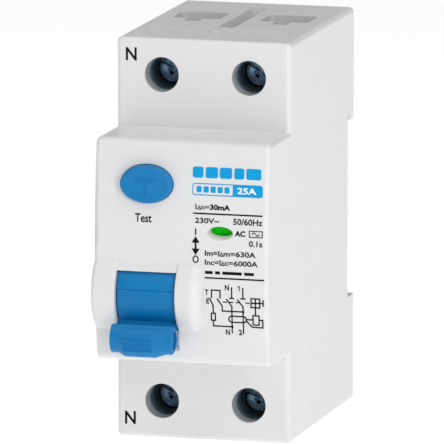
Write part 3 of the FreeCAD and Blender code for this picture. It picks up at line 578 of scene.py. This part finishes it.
def carve(name, solid, cutters, additions=()):
    """A mesh: the first solid with the additions, less the cutters."""
    target = blank_object(solid)
    steps = [("UNION", blank_object(bm)) for bm in additions]
    steps += [("DIFFERENCE", blank_object(bm)) for bm in cutters]
    for operation, tool in steps:
        step = target.modifiers.new("step", "BOOLEAN")
        step.operation = operation
        step.solver = "EXACT"
        step.object = tool
    bpy.context.view_layer.update()
    mesh = bpy.data.meshes.new_from_object(target.evaluated_get(bpy.context.evaluated_depsgraph_get()))
    mesh.name = name
    for obj in [target] + [tool for _, tool in steps]:
        blank = obj.data
        bpy.data.objects.remove(obj)
        bpy.data.meshes.remove(blank)
    return mesh


def soften(mesh, angle=35):
    for polygon in mesh.polygons:
        polygon.use_smooth = True
    mesh.set_sharp_from_angle(angle=math.radians(angle))


def inset(points, distance):
    """A closed outline moved inwards along its own normals; it runs with its inside on the left."""
    moved = []
    for i, (y, z) in enumerate(points):
        (py, pz), (ny, nz) = points[i - 1], points[(i + 1) % len(points)]
        size = math.hypot(ny - py, nz - pz)
        moved.append((y - (nz - pz) / size * distance(i), z + (ny - py) / size * distance(i)))
    return moved


def rounding(x, ends):
    """How far an end of radius EDGE draws the outline in at x."""
    near = max(0.0, EDGE - min(x - ends[0], ends[1] - x))
    return EDGE - math.sqrt(max(0.0, EDGE ** 2 - near ** 2))


def rib(i, x):
    """Height of the moulded ribs at point i of the outline, which starts with the front arc."""
    run = FRONT_RUN * i / FRONT_STEPS
    if i >= FRONT_STEPS or not RIB_RUN[0] < run < RIB_RUN[1]:
        return 0.0
    across = smooth((x - RIB_X[0]) / RIB_FADE) * smooth((RIB_X[1] - x) / RIB_FADE)
    return RIB_HEIGHT * across * (0.5 - 0.5 * math.cos(2 * math.pi * (run - RIB_RUN[0]) / RIB_PITCH))


def grip_section(x):
    (left, left_width), (right, right_width) = GRIP_SLOPES
    share = min(1.0, max(0.0, (x - left) / left_width), max(0.0, (right - x) / right_width))
    flat = grip_outline(GRIP_DROP * share)
    soft = rounding(x, GRIP_X)
    return [(x, y, z) for y, z in inset(flat, lambda i: soft - rib(i, x))]


def hub_section(x):
    soft = rounding(x, HUB_X)
    return [(x, y, z) for y, z in inset(hub_outline(1 - soft / EDGE), lambda i: soft)]


def stations(ends, count):
    corner = [0.0, 0.03, 0.1, 0.2, EDGE]
    middle = [ends[0] + EDGE + (ends[1] - ends[0] - 2 * EDGE) * i / count for i in range(1, count)]
    return [ends[0] + d for d in corner] + middle + [ends[1] - d for d in reversed(corner)]


def toggle_piece():
    cy, cz = TOGGLE_AXIS
    hub = swept([hub_section(x) for x in stations(HUB_X, 4)])
    grip = swept([grip_section(x) for x in stations(GRIP_X, 44)])
    dish = arc_points((-66.2, -14.6), (-67.75, -16.9), (-66.6, -18.6), 14)
    dish += arc_points((-66.6, -18.6), (-65.0, -18.0), (-64.2, -16.7), 8)
    dish += [(-64.2, -16.7), (-64.8, -15.2)]
    recesses = [swept([[(x, y, z) for y, z in dish] for x in span])
                for span in ((GRIP_X[1] - 0.5, 1.0), (-14.5, GRIP_X[0] + 0.5))]
    crank = (cy + CRANK_R * math.cos(CRANK_RISE), cz + CRANK_R * math.sin(CRANK_RISE))
    cutters = recesses + [
        drum(1.55, (-14, 0.5), cy, cz),
        block(LINK_ROOM, (cy + 2.3, cy + 9), (cz - 1.5, cz + 9)),
        block(LINK_ROOM, (cy - 1.6, cy + 9), (cz + 2.4, cz + 9)),
        drum(0.55, (-10.2, -3.4), *crank),
    ]
    mesh = carve("toggle_handle", hub, cutters, [grip])
    soften(mesh, 30)
    new_piece("toggle_handle", mesh, MATERIALS["blue_plastic"], "toggle", "blue_plastic", "toggle")


# ---- clamp screws: dished head with a combined recess, and a rolled thread ----
POLE_X = (-8.65, 9.4)
SCREW_Z = (33.4, -33.1)
HEAD_FRONT, HEAD_BACK, SCREW_TIP = -36.4, -33.4, -19.6
HEAD_R, SHANK_R = 3.2, 2.45
THREAD_PITCH, THREAD_DEPTH = 0.8, 0.36
ROUND_STEPS = 64
HEAD_SHAPE = (   # radius, depth behind the head's front
    (1.9, 0.42), (2.5, 0.2), (2.85, 0.0), (3.02, 0.05), (3.15, 0.25), (HEAD_R, 0.5),
)
RECESS_BARS = (   # half width and height, depth, taper, turn: driver slot, cross, small diagonal cross
    ((3.6, 0.45), 0.75, 1.0, 0),
    ((0.55, 2.0), 1.1, 0.6, 0),
    ((2.0, 0.55), 1.1, 0.6, 0),
    ((0.26, 1.7), 0.5, 0.7, 45),
    ((1.7, 0.26), 0.5, 0.7, 45),
)
SLEEVE_PROFILE = [   # radius, y: stepped mouth, waisted bore, straight outside
    (3.5, -42.0), (3.38, -42.0), (3.32, -41.9), (3.34, -41.7), (3.42, -41.5), (3.42, -41.25),
    (3.33, -41.05), (3.32, -40.7), (3.44, -40.5), (3.42, -39.0), (3.3, -37.2), (3.26, -36.6),
    (3.26, -33.1), (4.1, -33.1), (4.1, -41.9), (3.6, -41.98),
]
# radius, y: a thin grey lining of each screw hole's front wall, painted shade: a grey sheet where the white
# wall only lies in shadow
HOLE_SHADE_PROFILE = [(3.545, -45.2), (3.5, -45.25), (3.485, -45.1), (3.485, -42.02), (3.545, -42.02)]


def turned(profile, x, z):
    """Rows for a solid turned about a line along Y; profile is (radius, y)."""
    angles = [2 * math.pi * i / ROUND_STEPS for i in range(ROUND_STEPS)]
    return [[(x + r * math.cos(a), y, z + r * math.sin(a)) for a in angles] for r, y in profile]


def thread_rows(x, z):
    rows = []
    samples = 8
    for k in range(1, int((SCREW_TIP - HEAD_BACK) / THREAD_PITCH * samples)):
        y = HEAD_BACK + k * THREAD_PITCH / samples
        taper = 0.5 * smooth((y - SCREW_TIP + 0.7) / 0.7)
        row = []
        for i in range(ROUND_STEPS):
            phase = (k / samples - i / ROUND_STEPS) % 1.0
            depth = THREAD_DEPTH * (1 - abs(2 * phase - 1)) * smooth((k - 4) / 8)
            r = SHANK_R - max(depth, taper)
            angle = 2 * math.pi * i / ROUND_STEPS
            row.append((x + r * math.cos(angle), y, z + r * math.sin(angle)))
        rows.append(row)
    return rows


def wedge(half, deep, taper):
    """A cutter pointing along +Y whose walls close in: one bar of the cross recess."""
    bm = block((-half[0], half[0]), (-1.0, deep), (-half[1], half[1]))
    for v in bm.verts:
        if v.co.y > 0:
            v.co.x *= taper
            v.co.z *= taper
    return bm


def screw_piece(node, x, z, turn):
    profile = [(radius, HEAD_FRONT + back) for radius, back in HEAD_SHAPE]
    profile += [(HEAD_R, HEAD_BACK - 0.15), (3.05, HEAD_BACK), (SHANK_R, HEAD_BACK)]
    solid = swept(turned(profile, x, z) + thread_rows(x, z))
    place = Matrix.Translation(Vector((x, HEAD_FRONT + 0.3, z)) * MM)
    place = place @ Matrix.Rotation(math.radians(turn), 4, "Y")
    cutters = []
    for half, deep, taper, extra in RECESS_BARS:
        cutter = wedge(half, deep, taper)
        cutter.transform(place @ Matrix.Rotation(math.radians(extra), 4, "Y"))
        cutters.append(cutter)
    name = node.replace("terminal", "clamp")
    mesh = carve(name, solid, cutters)
    soften(mesh, 30)
    body = node.replace("terminal_screw", "screw")
    new_piece(name, mesh, MATERIALS["zinc_screw"], body, "zinc_screw", node)


def lathe(profile, x, z):
    """A closed ring: the profile is a loop of (radius, y)."""
    rows = turned(profile, x, z)
    bm = bmesh.new()
    rings = [[bm.verts.new(Vector(p) * MM) for p in row] for row in rows]
    for a, b in zip(rings, rings[1:] + rings[:1]):
        for i in range(ROUND_STEPS):
            j = (i + 1) % ROUND_STEPS
            bm.faces.new((a[i], a[j], b[j], b[i]))
    bmesh.ops.recalc_face_normals(bm, faces=bm.faces[:])
    return bm


def joined(parts):
    whole = bmesh.new()
    for part in parts:
        mesh = bpy.data.meshes.new("part")
        part.to_mesh(mesh)
        part.free()
        whole.from_mesh(mesh)
        bpy.data.meshes.remove(mesh)
    return whole


def ring_piece(name, profile, material, slot, *replaced):
    bm = joined([lathe(profile, x, z) for z in SCREW_Z for x in POLE_X])
    mesh = bpy.data.meshes.new(name)
    bm.to_mesh(mesh)
    bm.free()
    soften(mesh, 25)
    return new_piece(name, mesh, material, "housing", slot, *replaced)


toggle_piece()
for node, x, z, turn in (("terminal_screw_line_neutral", POLE_X[0], SCREW_Z[0], 28),
                         ("terminal_screw_line_phase", POLE_X[1], SCREW_Z[0], 36),
                         ("terminal_screw_load_neutral", POLE_X[0], SCREW_Z[1], 34),
                         ("terminal_screw_load_phase", POLE_X[1], SCREW_Z[1], 22)):
    screw_piece(node, x, z, turn)
ring_piece("screw_sleeve_rings", SLEEVE_PROFILE, MATERIALS["dark_sleeve"], "dark_sleeve", "screw_sleeves")
# grey linings in the hole mouths: painted shade on the white hole walls, not a real part
ring_piece("hole_shade_rings", HOLE_SHADE_PROFILE, MATERIALS["grey_plastic"], "grey_plastic")

# ---- test button: bevelled oval key with a shallow engraved letter ----
BUTTON = (-7.05, 14.1)
BUTTON_FRONT = -63.7
BUTTON_SIZE = (10.7, 7.6)
BUTTON_BEVEL = (   # how much smaller the oval is, and how far behind the front
    (1.5, 0.03), (1.15, 0.0), (1.0, 0.04), (0.16, 0.46), (0.04, 0.56), (0.0, 0.7), (0.0, 4.7),
)


def oval_row(wide, high, y, steps=96):
    x, z = BUTTON
    angles = [2 * math.pi * i / steps for i in range(steps)]
    return [(x + wide / 2 * math.cos(a), y, z + high / 2 * math.sin(a)) for a in angles]


def button_piece():
    x, z = BUTTON
    wide, high = BUTTON_SIZE
    rows = [oval_row(wide - less, high - less, BUTTON_FRONT + back) for less, back in BUTTON_BEVEL]
    rows += [oval_row(wide + 1.4, high + 1.4, y) for y in (-59.0, -58.0)]
    rows += [oval_row(4.0, 4.0, y) for y in (-58.0, -50.8)] + [oval_row(3.6, 3.6, -50.6)]
    face = (BUTTON_FRONT - 1, BUTTON_FRONT + 0.16)
    cutters = [block((x - 1.95, x + 1.95), face, (z + 0.72, z + 1.42)),
               block((x - 0.29, x + 0.29), face, (z - 2.2, z + 0.9))]
    mesh = carve("test_button_key", swept(rows), cutters)
    soften(mesh, 25)
    plastic = "blue_plastic"
    new_piece("test_button_key", mesh, MATERIALS[plastic], "test_button", plastic, "test_button")


button_piece()

# ---- floor, light and camera ----
FLOOR_Z = CAD_BOX[0].z - 0.00005
CAMERA_YAW, CAMERA_PITCH = 15.321, 10.0       # degrees
CAMERA_AIM = (0, -0.0255, 0)
CAMERA_DISTANCE = 2.0
CAMERA_SHIFT = (-0.001568, 0.000452)          # sideways and up, to frame the device
CAMERA_LENS = 801.2
LIGHT_TARGET = (0, -0.03, 0)
WORLD_STRENGTH = 0.18
LIGHTS = (   # name, place and size in metres, power in watts
    ("key", (0.8, -0.9, 0.42), 0.34, 2.5),
    ("low_right", (0.95, -0.82, 0.05), 0.14, 1.8),
    ("side_right", (1.25, -0.25, 0.05), 0.14, 0.35),
    ("upper_right", (0.6, -0.4, 0.9), 0.5, 2.6),
    ("upper_left", (-0.6, -0.3, 0.9), 0.9, 2.8),
    ("upper_front", (0.0, -0.9, 0.8), 0.5, 1.75),
    ("top", (0.04, -0.14, 1.25), 0.6, 1.35),
    ("back", (-0.14, 0.76, 0.96), 0.5, 1.4),
)


def floor():
    mesh = bpy.data.meshes.new("floor")
    half = 6.0
    corners = [(x * half, y * half, FLOOR_Z) for x, y in ((-1, -1), (1, -1), (1, 1), (-1, 1))]
    mesh.from_pydata(corners, [], [(0, 1, 2, 3)])
    obj = bpy.data.objects.new("floor", mesh)
    bpy.context.scene.collection.objects.link(obj)
    n = Nodes("floor_paper")
    n.tint(n.noise(6.0, 2.0), (0.78, 0.78, 0.785), (0.8, 0.8, 0.805))
    n.shader.inputs["Roughness"].default_value = 0.9
    n.shader.inputs["Emission Color"].default_value = (1, 1, 1, 1)
    n.shader.inputs["Emission Strength"].default_value = 0.53
    mesh.materials.append(n.material)


def area_light(name, place, size, power):
    data = bpy.data.lights.new(name, "AREA")
    data.shape = "SQUARE"
    data.size = size
    data.energy = power
    obj = bpy.data.objects.new(name, data)
    obj.location = place
    obj.rotation_euler = (Vector(LIGHT_TARGET) - Vector(place)).to_track_quat("-Z", "Y").to_euler()
    bpy.context.scene.collection.objects.link(obj)


def world_light(strength):
    world = bpy.data.worlds.new("studio")
    world.use_nodes = True
    sky = world.node_tree.nodes["Background"]
    sky.inputs["Color"].default_value = (1, 1, 1, 1)
    sky.inputs["Strength"].default_value = strength
    bpy.context.scene.world = world


def camera():
    """A long lens, looking from the right and a little above."""
    yaw, pitch = math.radians(CAMERA_YAW), math.radians(CAMERA_PITCH)
    level = math.cos(pitch)
    forward = Vector((-math.sin(yaw) * level, math.cos(yaw) * level, -math.sin(pitch)))
    right = Vector((math.cos(yaw), math.sin(yaw), 0))
    up = right.cross(forward)
    across, rise = CAMERA_SHIFT
    data = bpy.data.cameras.new("camera")
    data.lens = CAMERA_LENS
    data.sensor_width = 36.0
    data.clip_end = 50
    obj = bpy.data.objects.new("camera", data)
    turn = Matrix((right, up, -forward)).transposed().to_4x4()
    place = Vector(CAMERA_AIM) - CAMERA_DISTANCE * forward + across * right + rise * up
    obj.matrix_world = Matrix.Translation(place) @ turn
    bpy.context.scene.collection.objects.link(obj)
    bpy.context.scene.camera = obj


floor()
world_light(WORLD_STRENGTH)
for name, place, size, power in LIGHTS:
    area_light(name, place, size, power)
camera()
bpy.context.scene.view_settings.view_transform = "Standard"
